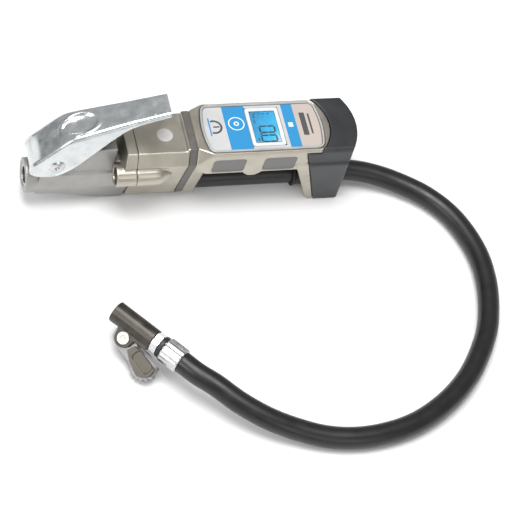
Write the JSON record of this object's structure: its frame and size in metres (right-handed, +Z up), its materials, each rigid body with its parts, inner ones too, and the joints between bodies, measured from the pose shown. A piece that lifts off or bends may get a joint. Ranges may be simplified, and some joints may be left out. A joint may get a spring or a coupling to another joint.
{
  "type": "tyre inflator with gauge",
  "caption": "Hand-held tyre inflator: die-cast body with a backlit digital gauge, pressed-steel thumb lever, rubber end boot and a short hose with a clip-on connector.",
  "frame": {"origin": "on the floor under the middle of the body, without the hose and its connector", "axes": "+X from the air inlet to the rubber end boot, +Y to the far side, +Z up, along the display's normal; the XZ plane is the body's middle plane"},
  "size_m": [0.3122, 0.2417, 0.0925],
  "materials": {
    "cast_zinc": "matt blasted zinc die casting",
    "satin_nickel": "satin champagne nickel on a die casting",
    "zinc_plate": "bright zinc-plated pressed sheet",
    "steel": "bright turned steel",
    "brass": "turned brass",
    "band_grey": "soft grey band",
    "boot_rubber": "satin moulded rubber",
    "hose_rubber": "smooth black hose",
    "seal_rubber": "black moulded rubber",
    "clear_grey": "clear-grey polished moulding",
    "window_clear": "polished clear window",
    "label_film": "printed film, light grey with two blue bands",
    "frame_plastic": "white polished moulding",
    "lcd": "backlit blue display",
    "board": "green circuit board",
    "battery_sleeve": "printed battery sleeve",
    "chuck_bronze": "dark bronze-brown plating",
    "clip_olive": "olive-brown plating",
    "pin_nickel": "cream-white nickel pin head",
    "black_plastic": "black moulding"
  },
  "bodies": {
    "housing": {"valve_casting": "cast_zinc", "inlet_bush": "steel", "inlet_filter": "brass", "inflate_gland": "brass", "inflate_spring": "steel", "inflate_seat": "seal_rubber", "deflate_gland": "brass", "deflate_spring": "steel", "deflate_seat": "seal_rubber", "lever_pin": "steel", "front_collar": "satin_nickel", "housing_screw_near": "steel", "housing_screw_far": "steel", "rear_housing": "satin_nickel", "groove_band": "band_grey", "end_boot": "boot_rubber", "battery_cover": "satin_nickel", "display_bezel": "clear_grey", "label_plate": "label_film", "window_frame": "frame_plastic", "window_pane": "window_clear", "lcd_panel": "lcd", "circuit_board": "board", "battery_near": "battery_sleeve", "battery_far": "battery_sleeve", "battery_contact_front": "steel", "battery_contact_rear": "steel", "pressure_sensor": "steel", "sensor_lead": "black_plastic", "hose_tail": "brass", "hose_sleeve": "seal_rubber", "hose": "hose_rubber", "chuck_body": "chuck_bronze", "chuck_seal": "seal_rubber", "valve_depressor": "brass", "clip_pin": "pin_nickel", "clip_spring": "steel", "hex_coupling": "steel", "ferrule_band": "black_plastic", "ferrule": "steel"},
    "lever": {"lever": "zinc_plate"},
    "inflate_plunger": {"inflate_plunger": "steel"},
    "deflate_plunger": {"deflate_plunger": "steel"},
    "clip": {"clip_web": "steel", "clip_plate_upper": "clip_olive", "clip_plate_lower": "clip_olive"}
  },
  "joints": [
    {"name": "lever_hinge", "type": "hinge", "parent": "housing", "child": "lever", "pos_m": [-0.09295, 0, 0.0477], "axis": [0, 1, 0], "range_deg": [0, 10], "stiffness_Nm_per_rad": 2, "springref_deg": -11.46},
    {"name": "inflate_slide", "type": "slide", "parent": "housing", "child": "inflate_plunger", "axis": [0, 0, -1], "range_m": [0, 0.0037], "deforming": ["inflate_spring"]},
    {"name": "deflate_slide", "type": "slide", "parent": "housing", "child": "deflate_plunger", "axis": [0, 0, -1], "range_m": [0, 0.007], "deforming": ["deflate_spring"]},
    {"name": "clip_hinge", "type": "hinge", "parent": "housing", "child": "clip", "pos_m": [-0.06265, -0.126, 0.01479], "axis": [-0.5584, -0.4721, 0.6821], "range_deg": [0, 6], "stiffness_Nm_per_rad": 0.5, "springref_deg": -28.65}
  ],
  "couplings": [
    {"joint": "inflate_slide", "follows": "lever_hinge", "m_per_rad": 0.02086},
    {"joint": "deflate_slide", "follows": "lever_hinge", "m_per_rad": 0.03953}
  ]
}
